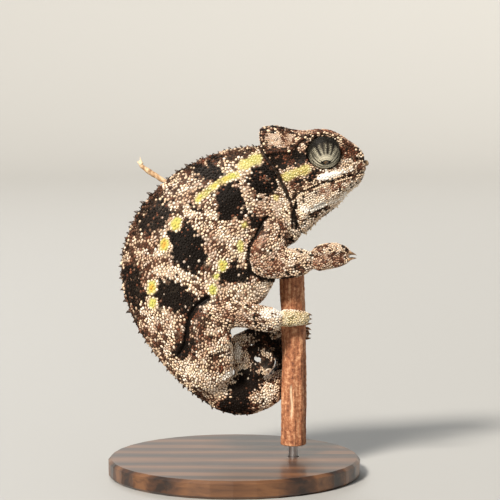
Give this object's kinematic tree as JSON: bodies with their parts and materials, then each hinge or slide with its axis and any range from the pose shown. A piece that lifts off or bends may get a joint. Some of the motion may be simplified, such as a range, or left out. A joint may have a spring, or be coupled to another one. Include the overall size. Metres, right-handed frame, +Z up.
{
  "type": "chameleon on a perch",
  "caption": "Life-size still model of a high-casqued chameleon curled round the top of an upright stem, tail coiled, on a round display stand.",
  "frame": {"origin": "centre of the stand's flat underside", "axes": "+Z up; +X the way the animal faces; -Y its right side, the near side"},
  "size_m": [0.0663, 0.064, 0.0889],
  "materials": {
    "skin": "granular scales, cream beads on dark brown skin with black blotches and yellow spots",
    "limb": "finer cream granular scales with small dark dots",
    "eyelid": "grey-green finely folded lid skin with dark radial stripes",
    "eyeball": "wet, glossy, nearly black",
    "horn": "pale, smooth, satin",
    "claw": "pale horn, satin",
    "bark": "reddish-brown speckled bark",
    "stand_wood": "dark stained wood, satin lacquer",
    "stand_steel": "satin"
  },
  "bodies": {
    "root": {"head": "skin", "lower_jaw": "skin", "neck": "skin", "trunk": "skin", "tail_1": "skin", "tail_2": "skin", "tail_3": "skin", "tail_4": "skin", "tail_5": "skin", "eye_turret_near": "eyelid", "eyeball_near": "eyeball", "eye_turret_far": "eyelid", "eyeball_far": "eyeball", "rostral_knob": "horn", "near_fore_upper": "limb", "near_fore_lower": "limb", "near_fore_inner_toes": "limb", "near_fore_outer_toes": "limb", "near_fore_claw_1": "claw", "near_fore_claw_2": "claw", "near_fore_claw_3": "claw", "near_fore_claw_4": "claw", "near_fore_claw_5": "claw", "far_fore_upper": "limb", "far_fore_lower": "limb", "far_fore_inner_toes": "limb", "far_fore_outer_toes": "limb", "far_fore_claw_1": "claw", "far_fore_claw_2": "claw", "far_fore_claw_3": "claw", "far_fore_claw_4": "claw", "far_fore_claw_5": "claw", "near_hind_upper": "limb", "near_hind_lower": "limb", "near_hind_inner_toes": "limb", "near_hind_outer_toes": "limb", "near_hind_claw_1": "claw", "near_hind_claw_2": "claw", "near_hind_claw_3": "claw", "near_hind_claw_4": "claw", "near_hind_claw_5": "claw", "far_hind_upper": "limb", "far_hind_lower": "limb", "far_hind_inner_toes": "limb", "far_hind_outer_toes": "limb", "far_hind_claw_1": "claw", "far_hind_claw_2": "claw", "far_hind_claw_3": "claw", "far_hind_claw_4": "claw", "far_hind_claw_5": "claw", "perch_stem": "bark", "perch_twig": "bark", "stand_base": "stand_wood", "stand_rod": "stand_steel"}
  },
  "joints": []
}
